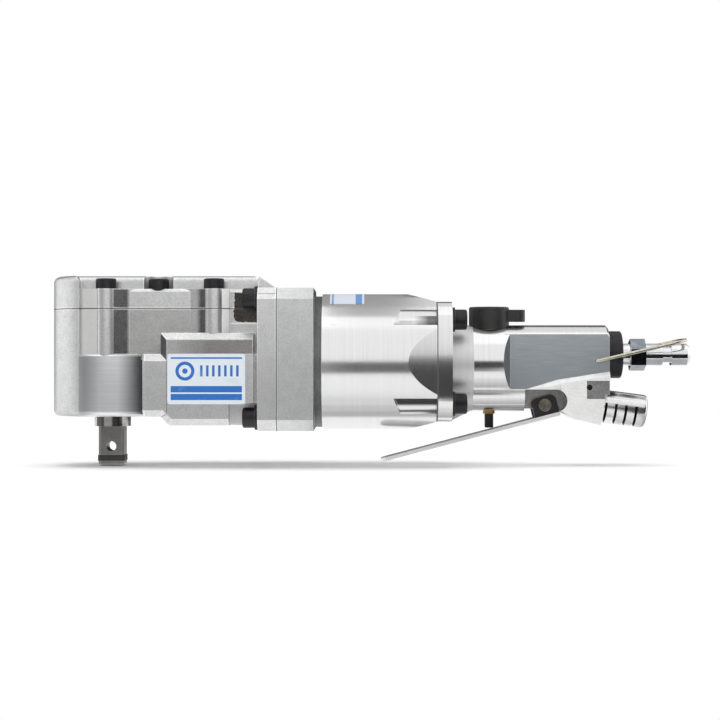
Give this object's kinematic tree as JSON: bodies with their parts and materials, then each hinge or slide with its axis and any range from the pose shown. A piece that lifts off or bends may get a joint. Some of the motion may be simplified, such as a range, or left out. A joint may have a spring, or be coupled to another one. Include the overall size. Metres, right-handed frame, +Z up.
{
  "type": "angle impact wrench",
  "caption": "Air driven right angle impact wrench with a square drive, cast gear head, round motor housing, lever throttle grip, reverse knob and air plug.",
  "frame": {"origin": "centre of the square drive's end face", "axes": "+X along the motor axis from the head to the air inlet, +Z up, square drive pointing to -Z"},
  "size_m": [0.317, 0.068, 0.0933],
  "materials": {
    "cast_aluminium": "bead blasted casting",
    "polished_aluminium": "polished",
    "milled_aluminium": "milled",
    "black_steel": "black oxide",
    "drive_steel": "dark hardened steel",
    "steel": "ground steel",
    "chrome": "chrome plated",
    "zinc": "zinc plated",
    "bronze": "turned bronze",
    "black_plastic": "moulded",
    "rubber": "moulded rubber",
    "gasket": "fibre sheet",
    "printed_plate": "printed foil",
    "vane": "laminated resin"
  },
  "bodies": {
    "casing": {"gear_case": "cast_aluminium", "gear_case_cover": "cast_aluminium", "case_plate": "printed_plate", "cover_gasket": "gasket", "cover_screws": "black_steel", "case_bolts": "black_steel", "case_washers": "black_steel", "anvil_bush": "bronze", "anvil_seal": "rubber", "hammer_bearing": "steel", "idler_pin": "steel", "shaft_lower_bearing": "steel", "shaft_upper_bearing": "steel", "pinion_bearing": "steel", "motor_gasket": "gasket", "motor_housing": "polished_aluminium", "cylinder_liner": "steel", "liner_pin": "steel", "front_end_plate": "steel", "rear_end_plate": "steel", "front_motor_bearing": "steel", "rear_motor_bearing": "steel", "handle_gasket": "gasket", "handle": "milled_aluminium", "handle_bolts": "black_steel", "handle_washers": "black_steel", "reverse_bush": "bronze", "lever_pin": "black_steel", "throttle_bush": "bronze", "inlet_bush": "black_steel", "inlet_screen": "bronze", "air_plug": "chrome", "exhaust_deflector": "polished_aluminium", "tail_screw": "black_steel"},
    "anvil": {"anvil": "drive_steel", "socket_ring": "rubber"},
    "hammer_cage": {"hammer_cage": "steel", "hammer_pins": "steel", "hammer_gear": "steel"},
    "lower_hammer": {"lower_hammer": "steel"},
    "upper_hammer": {"upper_hammer": "steel"},
    "idler": {"idler_gear": "steel", "idler_bush": "bronze"},
    "gear_shaft": {"gear_shaft": "steel", "drive_gear": "steel", "bevel_gear": "steel"},
    "rotor": {"rotor": "steel", "vanes": "vane", "bevel_pinion": "steel"},
    "lever": {"throttle_lever": "steel"},
    "throttle": {"throttle_plunger": "black_steel", "throttle_valve": "rubber", "throttle_spring": "steel"},
    "reverse": {"reverse_knob": "black_plastic", "reverse_valve": "bronze"},
    "bail": {"hanger_bail": "zinc"}
  },
  "joints": [
    {"name": "rotor_spin", "type": "hinge", "parent": "casing", "child": "rotor", "pos_m": [0, 0, 0.0513], "axis": [1, 0, 0], "continuous": true},
    {"name": "gear_shaft_spin", "type": "hinge", "parent": "casing", "child": "gear_shaft", "pos_m": [0.05, 0, 0], "axis": [0, 0, 1], "continuous": true},
    {"name": "idler_spin", "type": "hinge", "parent": "casing", "child": "idler", "pos_m": [0.025, 0, 0], "axis": [0, 0, 1], "continuous": true},
    {"name": "hammer_spin", "type": "hinge", "parent": "casing", "child": "hammer_cage", "pos_m": [0, 0, 0], "axis": [0, 0, 1], "continuous": true},
    {"name": "anvil_spin", "type": "hinge", "parent": "casing", "child": "anvil", "pos_m": [0, 0, 0], "axis": [0, 0, 1], "continuous": true},
    {"name": "lower_hammer_swing", "type": "hinge", "parent": "hammer_cage", "child": "lower_hammer", "pos_m": [0, 0.0134, 0], "axis": [0, 0, 1], "range_deg": [-2.5, 2.5]},
    {"name": "upper_hammer_swing", "type": "hinge", "parent": "hammer_cage", "child": "upper_hammer", "pos_m": [0, -0.0134, 0], "axis": [0, 0, 1], "range_deg": [-2.5, 2.5]},
    {"name": "lever_squeeze", "type": "hinge", "parent": "casing", "child": "lever", "pos_m": [0.2152, 0, 0.0298], "axis": [0, 1, 0], "range_deg": [0, 8], "stiffness_Nm_per_rad": 1.5, "springref_deg": -8.59},
    {"name": "throttle_slide", "type": "slide", "parent": "casing", "child": "throttle", "axis": [0, 0, 1], "range_m": [0, 0.0045], "deforming": ["throttle_spring"]},
    {"name": "reverse_turn", "type": "hinge", "parent": "casing", "child": "reverse", "pos_m": [0.188, 0, 0], "axis": [0, 0, 1], "range_deg": [-40, 40]},
    {"name": "bail_swing", "type": "hinge", "parent": "casing", "child": "bail", "pos_m": [0.2402, 0, 0.0516], "axis": [0, -1, 0], "range_deg": [0, 110]}
  ],
  "couplings": [
    {"joint": "gear_shaft_spin", "follows": "rotor_spin", "ratio": 0.7},
    {"joint": "idler_spin", "follows": "rotor_spin", "ratio": -0.85556},
    {"joint": "hammer_spin", "follows": "rotor_spin", "ratio": 0.7},
    {"joint": "anvil_spin", "follows": "rotor_spin", "ratio": 0.7},
    {"joint": "throttle_slide", "follows": "lever_squeeze", "m_per_rad": 0.026905}
  ]
}
